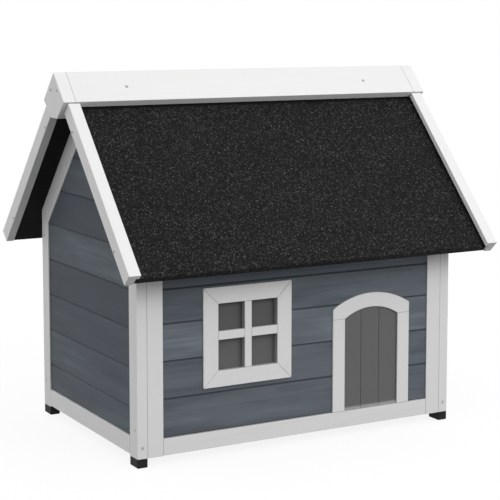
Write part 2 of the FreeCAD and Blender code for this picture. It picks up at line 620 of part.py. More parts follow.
def make_arched_head():
    """The arched head over the door: two straight shoulders between an outer and an inner arc."""
    body = doc.addObject("PartDesign::Body", "door_arch_head")
    sketch = new_sketch(body, "XZ_Plane")
    half_in = VALUES["door_opening_width"] / 2
    half_out = half_in + VALUES["door_jamb_width"]
    centre = (VALUES["body_length"] / 2 - VALUES["timber_thick"] - VALUES["front_stile_width"]
              - VALUES["door_inset"])
    spring = (VALUES["foot_height"] + VALUES["front_rail_lift"] + VALUES["front_rail_height"]
              + VALUES["door_jamb_height"])
    shoulder = spring + VALUES["door_shoulder"]
    corners = [(half_in, spring), (half_out, spring), (half_out, shoulder),
               (-half_out, shoulder), (-half_out, spring), (-half_in, spring)]
    points = [FreeCAD.Vector(centre + across, up, 0) for across, up in corners]
    for first, last in ((0, 1), (1, 2)):
        sketch.addGeometry(Part.LineSegment(points[first], points[last]), False)
    sketch.addGeometry(arc_between(half_out, VALUES["door_head_rise"], shoulder, centre), False)
    for first, last in ((3, 4), (4, 5)):
        sketch.addGeometry(Part.LineSegment(points[first], points[last]), False)
    sketch.addGeometry(arc_between(half_in, VALUES["door_arch_rise"], spring, centre), False)
    joints = ((0, 2, 1, 1), (1, 2, 2, 1), (2, 2, 3, 1), (3, 2, 4, 1), (4, 2, 5, 2), (5, 1, 0, 1))
    for joint in joints:
        sketch.addConstraint(Sketcher.Constraint("Coincident", *joint))
    opening, jamb = "door_opening_width / 2", "door_opening_width / 2 + door_jamb_width"
    top = f"{DOOR_SPRING} + door_shoulder"
    places = ((0, 1, f"{DOOR_CENTRE} + {opening}", DOOR_SPRING),
              (1, 1, f"{DOOR_CENTRE} + {jamb}", DOOR_SPRING),
              (1, 2, f"{DOOR_CENTRE} + {jamb}", top),
              (3, 1, f"{DOOR_CENTRE} - ({jamb})", top),
              (3, 2, f"{DOOR_CENTRE} - ({jamb})", DOOR_SPRING),
              (4, 2, f"{DOOR_CENTRE} - {opening}", DOOR_SPRING))
    for line, end, across, up in places:
        tie_point(sketch, line, end, across, up)
    for arc, half, rise in ((2, f"({jamb})", "door_head_rise"), (5, f"({opening})", "door_arch_rise")):
        place = sketch.addConstraint(Sketcher.Constraint("Radius", arc, sketch.Geometry[arc].Radius))
        bind(sketch, f"Constraints[{place}]", f"({half} * {half} + {rise} * {rise}) / (2 * {rise})")
    pad = body.newObject("PartDesign::Pad", "door_arch_head_pad")
    pad.Profile = sketch
    bind(pad, "Length", "casing_thick")
    place_on_plane(body, "XZ_Plane", f"-{CASING_FACE}", "casing_thick")
    doc.recompute()
    bevel = body.newObject("PartDesign::Chamfer", "door_arch_head_bevel")
    bevel.Base = (pad, [f"Edge{index + 1}" for index in range(len(pad.Shape.Edges))])
    bind(bevel, "Size", "edge_break")
    node("door_arch_head", body)


def make_door():
    """Jambs, arched head, the batten behind the head and the three strips that hang from it."""
    make_arched_head()
    near, far = "door_opening_width / 2", "(door_opening_width / 2 + door_jamb_width)"
    for side, side_name in ((LEFT, "left"), (RIGHT, "right")):
        outline = rectangle(f"{DOOR_CENTRE} + {side} * {near}", f"{DOOR_CENTRE} + {side} * {far}",
                            FRONT_RAIL_TOP, DOOR_SPRING)
        name = f"door_{side_name}_jamb"
        node(name, slab(name, "XZ_Plane", outline, f"-{CASING_FACE}", "casing_thick"))
    half = "(flap_width / 2 + flap_side_gap - hanger_end_gap)"
    hanger = rectangle(f"{DOOR_CENTRE} - {half}", f"{DOOR_CENTRE} + {half}",
                       f"{DOOR_NOTCH_TOP} - hanger_height", DOOR_NOTCH_TOP)
    node("door_strip_batten", slab("door_strip_batten", "XZ_Plane", hanger, f"-{BOARD_FACE}", "board_thick"))
    slit = f"({DOOR_CENTRE} + slit_shift)"
    edges = {
        "left": (f"({DOOR_CENTRE} - flap_width / 2)", f"({slit} - middle_strip_pitch / 2 - slit_gap / 2)"),
        "middle": (f"({slit} - middle_strip_pitch / 2 + slit_gap / 2)",
                   f"({slit} + middle_strip_pitch / 2 - slit_gap / 2)"),
        "right": (f"({slit} + middle_strip_pitch / 2 + slit_gap / 2)", f"({DOOR_CENTRE} + flap_width / 2)"),
    }
    for which, (low_x, high_x) in edges.items():
        make_strip(f"door_{which}_strip", low_x, high_x)


def make_strip(name, low_x, high_x):
    """A thin strip with a rounded top edge, centred on its hinge line."""
    bottom = f"({FRONT_RAIL_TOP} + flap_floor_gap)"
    sheet_part = box(name + "_sheet", (low_x, f"-{HINGE_DEPTH} - flap_thick / 2", bottom),
                     (f"{high_x} - {low_x}", "flap_thick", f"{HINGE_HEIGHT} - {bottom}"))
    bead = doc.addObject("Part::Cylinder", name + "_bead")
    bead.Placement.Rotation = FreeCAD.Rotation(FreeCAD.Vector(0, 1, 0), 90)
    bind(bead, "Radius", "flap_thick / 2")
    bind(bead, "Height", f"{high_x} - {low_x}")
    for letter, formula in zip("xyz", (low_x, f"-{HINGE_DEPTH}", HINGE_HEIGHT)):
        bind(bead, f"Placement.Base.{letter}", formula)
    strip = doc.addObject("Part::Fuse", name)
    strip.Base = sheet_part
    strip.Tool = bead
    strip.Refine = True
    node(name, strip)


# Floor

def make_floor():
    """A floor sheet on two bearers that are fixed to the front and back rails."""
    half_x = f"({PANEL_END} - floor_gap)"
    half_y = f"({HALF_DEPTH} - timber_thick - floor_gap)"
    under = f"({FRONT_RAIL_TOP} - floor_drop - floor_thick)"
    outline = rectangle(f"-{half_x}", half_x, f"-{half_y}", half_y)
    node("floor_panel", slab("floor_panel", "XY_Plane", outline, under, "floor_thick"))
    for end, end_name in ((FRONT, "front"), (REAR, "rear")):
        rail_face = f"({HALF_DEPTH} - timber_thick)"
        outline = rectangle(f"{end} * {rail_face}", f"{end} * ({rail_face} - bearer_size)",
                            f"{under} - bearer_size", under)
        name = f"{end_name}_floor_bearer"
        node(name, slab(name, "YZ_Plane", outline, f"-{half_x}", f"2 * {half_x}"))


# Roof

def make_ridge_felt(holes):
    """A strip of felt folded over the ridge, on which the ridge boards lie."""
    outline = [ridge_point(CAP_UNDERSIDE)]
    outline += [roof_point(REAR, "ridge_felt_width", level) for level in (CAP_UNDERSIDE, FELT_TOP)]
    outline += [ridge_point(FELT_TOP)]
    outline += [roof_point(FRONT, "ridge_felt_width", level) for level in (FELT_TOP, CAP_UNDERSIDE)]
    strip = slab("ridge_felt_blank", "YZ_Plane", outline, f"-{ROOF_END}", f"2 * {ROOF_END}", None)
    node("ridge_felt", cut("ridge_felt", strip, holes["cap_screws"]))


def make_roof_slope(end, name, holes):
    """One slope: a panel, felt turned down over the eave and a ridge board on top."""
    along = (f"-{ROOF_END}", f"2 * {ROOF_END}")
    eave = "(roof_run - felt_thick)"
    panel = slab(name + "_roof_panel_blank", "YZ_Plane",
                 [ridge_point(PANEL_FACE), roof_point(end, eave, PANEL_FACE),
                  roof_point(end, eave, ROOF_UNDERSIDE), ridge_point(ROOF_UNDERSIDE)], *along)
    felt = slab(name + "_roof_felt_blank", "YZ_Plane",
                [ridge_point(FELT_TOP), roof_point(end, "roof_run - felt_bend", FELT_TOP),
                 roof_point(end, "roof_run", f"{FELT_TOP} - felt_bend"),
                 roof_point(end, "roof_run", ROOF_UNDERSIDE), roof_point(end, eave, ROOF_UNDERSIDE),
                 roof_point(end, eave, PANEL_FACE), ridge_point(PANEL_FACE)], *along, None)
    ridge_board = slab(name + "_ridge_board_blank", "YZ_Plane",
                       [ridge_point("0"), roof_point(end, "cap_width", "0"),
                        roof_point(end, "cap_width", CAP_UNDERSIDE), ridge_point(CAP_UNDERSIDE)], *along)
    panel = cut(name + "_roof_panel_edge", panel, holes["barge_nails"])
    ridge_board = cut(name + "_ridge_board_edge", ridge_board, holes["block_nails"])
    for part, blank in (("roof_panel", panel), ("roof_felt", felt), ("ridge_board", ridge_board)):
        node(f"{name}_{part}", cut(f"{name}_{part}", blank, holes["cap_screws"]))


def make_barge_board(side, end, name, holes):
    """A board over the end of a roof panel, with a lip that stands over the felt."""
    top, bottom, lip_under = "(-barge_drop)", "(-barge_drop - barge_depth)", "(-barge_drop - barge_lip_thick)"
    first, last = BARGE_RUNS
    lip_start = span(side, f"({BARGE_END} - barge_lip_width)", BARGE_END)
    deep = slab(name + "_deep", "YZ_Plane",
                [roof_point(end, first, top), roof_point(end, last, top),
                 roof_point(end, last, bottom), roof_point(end, first, bottom)],
                span(side, ROOF_END, BARGE_END), "barge_thick")
    lip = slab(name + "_lip", "YZ_Plane",
               [roof_point(end, first, top), roof_point(end, last, top),
                roof_point(end, last, lip_under), roof_point(end, first, lip_under)],
               lip_start, "barge_lip_width")
    blank = doc.addObject("Part::Fuse", name + "_blank")
    blank.Base = deep
    blank.Tool = lip
    blank.Refine = True
    node(name, cut(name, blank, holes["barge_nails"]))


def make_ridge_block(side, name, holes):
    """A five-sided block that closes the end of the ridge."""
    outline = [("0", "ridge_height"), roof_point(REAR, "cap_width", "0"),
               roof_point(REAR, "cap_width", "-block_depth"), roof_point(FRONT, "cap_width", "-block_depth"),
               roof_point(FRONT, "cap_width", "0")]
    blank = slab(name + "_blank", "YZ_Plane", outline,
                 span(side, ROOF_END, f"({ROOF_END} + block_thick)"), "block_thick")
    node(name, cut(name, blank, holes["block_nails"]))


def make_roof(holes):
    """Both slopes, the felt over the ridge, four barge boards and two ridge blocks."""
    make_ridge_felt(holes)
    for end, end_name in ((FRONT, "front"), (REAR, "rear")):
        make_roof_slope(end, end_name, holes)
        for side, side_name in ((LEFT, "left"), (RIGHT, "right")):
            make_barge_board(side, end, f"{end_name}_{side_name}_barge_board", holes)
    for side, side_name in ((LEFT, "left"), (RIGHT, "right")):
        make_ridge_block(side, f"{side_name}_ridge_block", holes)


# The whole house

def check_document():
    """Stop if any object failed or any sub-part has no sound shape."""
    for thing in doc.Objects:
        if "Invalid" in thing.State or "Error" in thing.State:
            raise RuntimeError(f"{thing.Label} failed: {thing.State}")
    for thing in nodes:
        if thing.Shape.isNull() or not thing.Shape.isValid() or not thing.Shape.Solids:
            raise RuntimeError(f"{thing.Label} has no sound solid")


def export_nodes():
    """Write one file for each sub-part."""
    os.makedirs("parts", exist_ok=True)
    for thing in nodes:
        thing.Shape.exportStep(f"parts/{thing.Label}.step")
    print(len(nodes), "sub-parts,", sum(len(thing.Shape.Solids) for thing in nodes), "solids")


def main():
    """Build the house, check it and write its sub-parts."""
    fill_sheet()
    holes = make_fasteners()
    make_feet()
    for side, name in ((LEFT, "left_gable"), (RIGHT, "right_gable")):
        make_gable(side, name, holes)
        make_gable_boards(side, name + "_boards")
    make_long_frame(FRONT, "front", holes)
    make_long_frame(REAR, "back", holes)
    make_long_boards(FRONT, "front_boards", front_openings())
    make_long_boards(REAR, "back_boards", None)
    make_window()
    make_door()
    make_floor()
    make_roof(holes)
    doc.recompute()
    check_document()
    export_nodes()


main()
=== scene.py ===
import math

import bmesh
import bpy
from bpy.props import FloatProperty, FloatVectorProperty, IntProperty, PointerProperty
from mathutils import Matrix, Vector


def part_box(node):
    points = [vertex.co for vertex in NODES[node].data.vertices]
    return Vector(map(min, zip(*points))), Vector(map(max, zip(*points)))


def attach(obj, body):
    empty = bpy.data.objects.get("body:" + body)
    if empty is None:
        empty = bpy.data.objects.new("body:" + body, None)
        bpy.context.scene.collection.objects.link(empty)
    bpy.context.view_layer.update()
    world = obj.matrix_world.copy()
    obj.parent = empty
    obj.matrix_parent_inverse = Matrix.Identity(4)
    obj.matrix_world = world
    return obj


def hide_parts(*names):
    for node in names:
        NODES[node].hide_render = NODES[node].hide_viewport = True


bl_info = {
    "name": "Cat house finish",
    "version": (1, 0, 0),
    "blender": (4, 5, 0),
    "location": "View3D > Sidebar > Cat house",
    "description": "Dresses a wooden cat house: paint, stained boards, felt and a strip door",
    "category": "Object",
}

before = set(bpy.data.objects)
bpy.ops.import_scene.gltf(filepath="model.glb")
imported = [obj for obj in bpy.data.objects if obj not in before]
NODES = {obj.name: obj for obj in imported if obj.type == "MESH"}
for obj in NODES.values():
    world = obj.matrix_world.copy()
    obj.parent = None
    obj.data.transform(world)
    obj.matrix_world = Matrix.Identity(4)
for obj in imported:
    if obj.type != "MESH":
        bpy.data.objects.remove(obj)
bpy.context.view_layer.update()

# Directions of the house, for the grain of each piece and the width of its face
LENGTHWAYS = Vector((1, 0, 0))
DEPTHWAYS = Vector((0, 1, 0))
UPWARDS = Vector((0, 0, 1))

# Fixed tones that are mixed into a user's colours
JOINT_SHADE = (0.10, 0.10, 0.10, 1.0)
# Painted shade for the grooves between boards
GROOVE_SHADE = (0.025, 0.028, 0.034, 1.0)
COOL_STAIN = (0.11, 0.155, 0.165, 1.0)
ROOF_RINGS = (0.012, 0.0115, 0.011)
SCUFFED_PLASTIC = (0.02, 0.02, 0.02, 1.0)
# Painted light on the pane's lower part, mixed with a little dust
PANE_LIGHT_AND_DUST = (0.155, 0.155, 0.157, 1.0)
STRIP_SHEEN = (0.122, 0.122, 0.123, 1.0)

# Metres: faces this close touch, and touching faces overlap by at least this much
TOUCH = 0.0005
SHARED_WIDTH = 0.001
# Metres: how far past the window's holes the boards' cut edges are pale
HOLE_MARGIN = 0.0025
# Metres: width of a growth ring in a board
BOARD_RING = 0.0042
# Metres from the seam between two boards: where the painted shade in its groove is darkest, and
# where it ends
GROOVE_INNER, GROOVE_OUTER = 0.0008, 0.0032
# From one board to the next in the noise that gives each its tone
BOARD_STEP = 3.7
# Metres: height of a board's pith over its lower edge, how far its tone lowers that, and the
# square of the pith's depth behind the face
PITH_HEIGHT, PITH_SPREAD, PITH_DEPTH_SQUARED = 0.07, 0.05, 0.0011
# Up to where the darkening along a joint is full, as a share of its width
JOINT_FULL = 0.4
# Rings of the floor and the roof panels against those of the frames
COARSE_RINGS = 1.6

# Rounds in which a fastener's axis is found, and metres from an end to its last corners
AXIS_ROUNDS = 20
END_REACHES = (3e-4, 1e-4, 1e-5)
# Metres: corners this close are one, in a CAD node's mesh and in a turned pin's
CAD_MERGE, PIN_MERGE = 1e-5, 1e-6
# Radians for each metre along the house and up it, by which a screw's cross is turned
CROSS_TURN_ALONG, CROSS_TURN_UP = 40, 70

# A fastener's outline, as shares of its head's radius or of its length
RIM = 0.93
HEAD_TOP, HEAD_SIDE, NECK = 0.10, 0.16, 0.58
SHANK = 0.45
POINT_START = 0.8
CROWN, CROWN_FALL, CROWN_EDGE = 0.6, 0.02, 0.06
CROSS_ARM = 0.62
CROSS_TAPER = 0.55

# How often a door strip's edges along X and Z are cut, and the angle past which its edges are
# rounded
STRIP_CUTS = ((0, 5), (2, 20))
SHARP_ANGLE = math.radians(60)

# The floor, the lamp and the camera: metres and radians, but millimetres for the sensor's width,
# and the shift as a share of it
FLOOR_REACH, FLOOR_GAP = 30, 0.0002
LAMP_PLACE = (1.0, -3.7, 2.6)
LAMP_AIM = (0, 0, 0.4)
CAMERA_PLACE = (-1.59724, -2.88142, 0.89936)
CAMERA_HEADING = 0.5105
CAMERA_DIP = 0.10689
CAMERA_SHIFT = -0.15
SENSOR_WIDTH = 36


# Properties

def size(name, text, default):
    """A length that a user may change."""
    return FloatProperty(name=name, description=text, default=default, min=0, subtype="DISTANCE",
                         unit="LENGTH", precision=5)


def share(name, text, default):
    """A plain number that a user may change."""
    return FloatProperty(name=name, description=text, default=default, min=0, precision=4)


def tint(name, text, default):
    """A colour that a user may change."""
    return FloatVectorProperty(name=name, description=text, default=default, size=3, min=0, max=1,
                               subtype="COLOR")


class TimberSettings(bpy.types.PropertyGroup):
    """Colours of the painted and bare timber."""
    paint: tint("White paint", "Body of the white paint", (0.80, 0.80, 0.80))
    paint_grain: tint("White paint over the grain", "White paint where the grain shows",
                      (0.70, 0.70, 0.69))
    end_grain: tint("Bare wood", "Light wood of the floor", (0.56, 0.41, 0.25))
    late_wood: tint("Dark wood", "Dark rings in the floor", (0.40, 0.26, 0.13))
    roof_black: tint("Roof underside", "Dark stain of the roof panels", (0.0055, 0.0055, 0.006))
    ring_spacing: size("Ring spacing", "From one growth ring to the next", 0.0036)
    joint: share("Joint", "How much darker the paint is along a joint", 0.46)
    joint_width: size("Joint width", "How far that darkening reaches from the joint", 0.0008)


class BoardSettings(bpy.types.PropertyGroup):
    """Colours and rows of the stained wall boards."""
    deep: tint("Deep stain", "Darkest streaks of the boards", (0.074, 0.086, 0.104))
    middle: tint("Stain", "Body of the boards", (0.118, 0.135, 0.158))
    pale: tint("Pale stain", "Lightest streaks of the boards", (0.185, 0.215, 0.243))
    hole_edge: tint("Hole edges", "Cut edges of the boards in the window", (0.36, 0.36, 0.36))
    # groove and gable_groove: how much painted shade darkens the grooves between boards, where
    # shade falls in the V
    groove: share("Groove", "How much darker the stain is in the grooves between front boards", 0.6)
    gable_groove: share("Gable groove", "The same between gable boards", 0.05)
    gable_depth: share("Gable stain", "How much nearer the gable boards are to the deep stain", 0.5)
    gable_contrast: share("Gable contrast", "How far that differs from one gable board to the next",
                          0.75)
    front_shine: share("Front shine", "Specular level of the front boards", 0.3)
    gable_shine: share("Gable shine", "Specular level of the gable boards", 0.15)
    front_seed: share("Front seed", "Which tone each front board gets", 0.77)
    gable_seed: share("Gable seed", "Which tone each gable board gets", 361.3)
    front_first: size("Lowest front board", "Height of the lowest board", 0.0787)
    front_cover: size("Front board", "Height of the next two boards", 0.07665)
    front_upper: size("Upper front board", "Height of the boards above", 0.0705)
    gable_first: size("Lowest gable board", "Height of the lowest board", 0.0582)
    gable_cover: size("Gable board", "Height of the other boards", 0.0799)


class RoofSettings(bpy.types.PropertyGroup):
    """Colours of the mineral felt."""
    bitumen: tint("Bitumen", "Between the granules", (0.0035, 0.0035, 0.0037))
    granule: tint("Granules", "Most of the granules", (0.0195, 0.0195, 0.0205))
    fleck: tint("Flecks", "The few light granules", (0.092, 0.092, 0.094))
    granule_size: size("Granule", "Width of a granule", 0.0017)
    # Painted shade: how far below the ridge boards the felt is darkened, where shade falls under
    # them
    ridge_shade_reach: size("Bare felt", "Felt without granules beside the ridge boards", 0.006)


class DoorSettings(bpy.types.PropertyGroup):
    """Colours and bend of the door strips, and colours of the pane and the feet."""
    strip: tint("Strips", "Flexible sheet of the door", (0.094, 0.094, 0.094))
    # Painted light: the strips' lower ends turn pale, standing for the lit rail top that shows
    # below them
    painted_lit_ends: tint("Lower ends", "Where the strips brush the white rail", (0.42, 0.42, 0.42))
    painted_lit_height: size("Lower end", "Height over which the strips turn pale", 0.0085)
    pane: tint("Pane", "Tinted sheet of the window", (0.083, 0.083, 0.084))
    foot: tint("Feet", "Moulded plastic", (0.0075, 0.0075, 0.008))
    overlap: size("Reach", "How much further down the soft strips hang than the solids", 0.0009)
    bow: size("Bow", "How far a strip bows between its edges", 0.00035)
    edge: size("Edge", "Rounding of the strips' edges", 0.0005)


class FastenerSettings(bpy.types.PropertyGroup):
    """Screws and nails."""
    screw: tint("Screws", "Zinc plate of the screws", (0.62, 0.62, 0.61))
    nail: tint("Nails", "Dull steel of the nails", (0.16, 0.16, 0.16))
    recess_width: size("Cross slot", "Width of each arm of the cross", 0.0009)
    recess_depth: size("Cross depth", "Depth of the cross", 0.0012)
    sides: IntProperty(name="Sides", description="Sides round a head", default=24, min=8, max=64)


class StudioSettings(bpy.types.PropertyGroup):
    """Light, floor and camera of the stage."""
    sky: share("Sky", "Brightness of the even light from all round", 1.01)
    lamp: share("Lamp", "Power of the large soft lamp", 53)
    lamp_width: size("Lamp width", "Width of that lamp", 2.4)
    floor: tint("Floor", "Colour of the floor", (0.12, 0.12, 0.12))
    floor_glow: tint("Floor brightness", "Added to the floor where the camera sees it",
                     (0.878, 0.878, 0.878))
    lens: share("Lens", "Focal length of the camera in millimetres", 107.381)


# Shader maths

class Number:
    """A number socket of a finish, so that shader maths reads as Python."""

    def __init__(self, finish, socket):
        self.finish = finish
        self.socket = socket

    def maths(self, operation, *values):
        """One Math node on these values."""
        node = self.finish.node("ShaderNodeMath", {"operation": operation}, dict(enumerate(values)))
        return Number(self.finish, node.outputs[0])

    def __add__(self, other):
        return self.maths("ADD", self, other)

    __radd__ = __add__

    def __sub__(self, other):
        return self.maths("SUBTRACT", self, other)

    def __rsub__(self, other):
        return self.maths("SUBTRACT", other, self)

    def __mul__(self, other):
        return self.maths("MULTIPLY", self, other)

    __rmul__ = __mul__

    def __pow__(self, other):
        return self.maths("POWER", self, other)

    def __gt__(self, other):
        return self.maths("GREATER_THAN", self, other)

    def __lt__(self, other):
        return self.maths("LESS_THAN", self, other)

    def fraction(self):
        """What is left over a whole number."""
        return self.maths("FRACT", self)

    def size(self):
        """The number without its sign."""
        return self.maths("ABSOLUTE", self)

    def least(self, other):
        """The smaller of two numbers."""
        return self.maths("MINIMUM", self, other)

    def smooth(self, low, high):
        """A soft step from 0 at low to 1 at high."""
        node = self.finish.node("ShaderNodeMapRange", {"interpolation_type": "SMOOTHSTEP"},
                                {"Value": self, "From Min": low, "From Max": high})
        return Number(self.finish, node.outputs[0])


class Finish:
    """The nodes of one material round its shader."""

    def __init__(self, name):
        self.material = bpy.data.materials.new(name)
        self.material.use_nodes = True
        self.tree = self.material.node_tree
        self.shader = next(node for node in self.tree.nodes if node.type == "BSDF_PRINCIPLED")

    def node(self, kind, settings=None, values=None):
        """A new node: its settings are set first, then its sockets get values or links."""
        node = self.tree.nodes.new(kind)
        for name, value in (settings or {}).items():
            setattr(node, name, value)
        for name, value in (values or {}).items():
            self.feed(node.inputs[name], value)
        return node

    def feed(self, socket, value):
        """Give a socket a value or a link."""
        if isinstance(value, Number):
            value = value.socket
        if isinstance(value, bpy.types.NodeSocket):
            self.tree.links.new(value, socket)
        else:
            socket.default_value = value

    def set(self, **values):
        """Feed the shader's sockets, named with underscores."""
        for name, value in values.items():
            self.feed(self.shader.inputs[name.replace("_", " ")], value)
        return self

    def place(self, along=LENGTHWAYS, across=UPWARDS, shift=(0, 0, 0)):
        """Object coordinates turned so that X runs along the grain and Y across the face."""
        turn = Matrix((along, across, along.cross(across))).to_euler()
        coordinates = self.node("ShaderNodeTexCoord").outputs["Object"]
        mapping = self.node("ShaderNodeMapping", None,
                            {"Vector": coordinates, "Location": shift, "Rotation": turn})
        return mapping.outputs[0]

    def spot(self):
        """X, Y and Z in the object's own frame."""
        return self.parts(self.node("ShaderNodeTexCoord").outputs["Object"])

    def parts(self, vector):
        """The three numbers of a vector."""
        node = self.node("ShaderNodeSeparateXYZ", None, {0: vector})
        return [Number(self, socket) for socket in node.outputs]

    def stretch(self, vector, scale):
        """A vector with each part scaled."""
        return self.node("ShaderNodeVectorMath", {"operation": "MULTIPLY"},
                         {0: vector, 1: scale}).outputs[0]

    def shift(self, vector, offset):
        """A vector moved by another."""
        return self.node("ShaderNodeVectorMath", {"operation": "ADD"},
                         {0: vector, 1: offset}).outputs[0]

    def noise(self, vector, scale, detail=3.0, roughness=0.55):
        """Cloudy noise from 0 to 1, with a scale for each axis."""
        node = self.node("ShaderNodeTexNoise", None,
                         {"Vector": self.stretch(vector, scale), "Scale": 1.0, "Detail": detail,
                          "Roughness": roughness})
        return Number(self, node.outputs[0])

    def mix(self, factor, first, second):
        """A colour between two others."""
        node = self.node("ShaderNodeMix", {"data_type": "RGBA"}, {0: factor, 6: first, 7: second})
        return node.outputs[2]

    def bump(self, height, strength, distance):
        """The shading normal of a fine relief."""
        node = self.node("ShaderNodeBump", None, {"Strength": strength, "Distance": distance,
                                                  "Height": height})
        return node.outputs[0]


def opaque(colour):
    """A colour property as the four numbers that a socket takes."""
    return (*colour, 1.0)


# Wood

def growth_rings(finish, place, spacing):
    """Dark late wood of the growth rings round a pith that runs along the grain."""
    _, across, outward = finish.parts(place)
    sway = finish.noise(place, (1.7, 9.0, 9.0), 2.0)
    radius = (across * across + outward * outward) ** 0.5
    ring = (radius * (1 / spacing) + sway * 5.0).fraction()
    return ring ** 3.0


def shared_faces(node, others):
    """Faces of a piece's box that lie against another piece, as an axis and a place on it."""
    low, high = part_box(node)
    faces = set()
    for other in others:
        other_low, other_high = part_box(other)
        reach = [min(high[axis], other_high[axis]) - max(low[axis], other_low[axis])
                 for axis in range(3)]
        for axis in range(3):
            if any(reach[side] < SHARED_WIDTH for side in range(3) if side != axis):
                continue
            for mine, theirs in ((low[axis], other_high[axis]), (high[axis], other_low[axis])):
                if abs(mine - theirs) < TOUCH:
                    faces.add((axis, round(mine, 5)))
    return sorted(faces)


def joint_distance(finish, node, others):
    """Distance to the nearest joint of a piece, with the mitres of the window casing."""
    spot = finish.spot()
    distances = [(spot[axis] - place).size() for axis, place in shared_faces(node, others)]
    if node.endswith("_casing"):
        low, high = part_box("window_left_casing")
        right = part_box("window_right_casing")[1]
        across = (spot[0] - (low.x + right.x) / 2).size() - (right.x - low.x) / 2
        up = (spot[2] - (low.z + high.z) / 2).size() - (high.z - low.z) / 2
        distances.append(((across - up) * math.sqrt(0.5)).size())
    nearest = distances[0] if distances else None
    for distance in distances[1:]:
        nearest = nearest.least(distance)
    return nearest


def white_timber(node, along, across, seed, others):
    """White paint through which the grain just shows, darker along the joints."""
    colours = bpy.context.scene.cat_house_timber
    finish = Finish(f"white_{node}")
    place = finish.place(along, across, (0.37 * seed, 0.023 * (seed % 5) - 0.05, 0.09))
    late = growth_rings(finish, place, colours.ring_spacing)
    fibre = finish.noise(place, (11.0, 420.0, 420.0), 3.0, 0.6)
    cloud = finish.noise(place, (4.0, 22.0, 22.0), 2.0)
    shows = late * 0.22 + fibre * 0.32 + cloud * 0.22
    colour = finish.mix(shows, opaque(colours.paint), opaque(colours.paint_grain))
    nearest = joint_distance(finish, node, others)
    if nearest:
        crack = 1.0 - nearest.smooth(colours.joint_width * JOINT_FULL, colours.joint_width)
        colour = finish.mix(crack * colours.joint, colour, JOINT_SHADE)
    return finish.set(
        Base_Color=colour,
        Roughness=0.36 + fibre * 0.16,
        Specular_IOR_Level=0.4,
        Normal=finish.bump(fibre * 0.5 + late * 0.5, 0.16, 0.0003),
    ).material


def holes_mask(finish):
    """One inside the window's holes and nought elsewhere."""
    x, _, z = finish.spot()
    low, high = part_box("window_bottom_casing")[1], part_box("window_top_casing")[0]
    left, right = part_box("window_left_casing")[1].x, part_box("window_right_casing")[0].x
    across = (x > left - HOLE_MARGIN) * (x < right + HOLE_MARGIN)
    return across * (z > low.z - HOLE_MARGIN) * (z < high.z + HOLE_MARGIN)


def stained_boards(name, along, base, covers, groove, seed, shine, depth=0.0, contrast=0.0,
                   holes=False):
    """Stained level boards: each row has streaks, rings and a tone of its own."""
    colours = bpy.context.scene.cat_house_boards
    finish = Finish(name)
    place = finish.place(along, UPWARDS)
    height = finish.parts(place)[1]
    row, low, level, seam = 0.0, base, base, None
    for cover in covers:
        level += cover
        above = height > level
        row = above + row
        low = above * cover + low
        distance = (height - level).size()
        seam = distance.least(seam) if seam else distance
    # Painted shade: the stain is darkened in the V groove along each seam, where shade falls
    painted_groove_shade = 1.0 - seam.smooth(GROOVE_INNER, GROOVE_OUTER)
    own = finish.node("ShaderNodeTexWhiteNoise", {"noise_dimensions": "1D"},
                      {"W": row * BOARD_STEP + seed})
    tone = Number(finish, own.outputs["Value"])
    own_place = finish.shift(place, finish.stretch(own.outputs["Color"], (7.0, 5.0, 3.0)))
    streak = finish.noise(own_place, (3.6, 40.0, 40.0), 4.0, 0.55)
    cloud = finish.noise(own_place, (5.0, 14.0, 14.0), 2.0)
    fibre = finish.noise(own_place, (13.0, 480.0, 480.0), 3.0, 0.62)
    sway = finish.noise(own_place, (1.9, 7.0, 7.0), 2.0)
    across = height - low + tone * PITH_SPREAD - PITH_HEIGHT
    radius = (across * across + PITH_DEPTH_SQUARED) ** 0.5
    late = (radius * (1 / BOARD_RING) + sway * 7.0).fraction() ** 3.0
    grain = streak * 1.35 + fibre * 0.30 + cloud * 0.45 + tone * 0.30 - late * 0.10
    shade = grain.smooth(0.58, 1.86)
    body = finish.mix(shade.smooth(0.0, 0.5), opaque(colours.deep), opaque(colours.middle))
    body = finish.mix(shade.smooth(0.5, 1.0), body, opaque(colours.pale))
    cool = finish.mix(cloud.smooth(0.35, 0.7) * 0.2, body, finish.mix(0.5, body, COOL_STAIN))
    settled = finish.mix((0.5 - tone) * contrast + depth, cool, opaque(colours.deep))
    colour = finish.mix(painted_groove_shade * groove, settled, GROOVE_SHADE)
    if holes:
        colour = finish.mix(holes_mask(finish), colour, opaque(colours.hole_edge))
    return finish.set(
        Base_Color=colour,
        Roughness=0.52 + fibre * 0.18,
        Specular_IOR_Level=shine,
        Normal=finish.bump(fibre * 0.6 + late * 0.4, 0.25, 0.0004),
    ).material


def bare_wood(name, along, light, dark, roughness, shine=0.3):
    """Wood without paint, for the floor and the underside of the roof."""
    colours = bpy.context.scene.cat_house_timber
    finish = Finish(name)
    place = finish.place(along, DEPTHWAYS if along != DEPTHWAYS else LENGTHWAYS, (0.2, 0.04, 0.11))
    late = growth_rings(finish, place, colours.ring_spacing * COARSE_RINGS)
    fibre = finish.noise(place, (9.0, 350.0, 350.0), 3.0, 0.6)
    return finish.set(
        Base_Color=finish.mix(late * 0.6 + fibre * 0.4, opaque(light), opaque(dark)),
        Roughness=roughness + fibre * 0.1,
        Specular_IOR_Level=shine,
        Normal=finish.bump(fibre, 0.25, 0.0004),
    ).material


# Other finishes

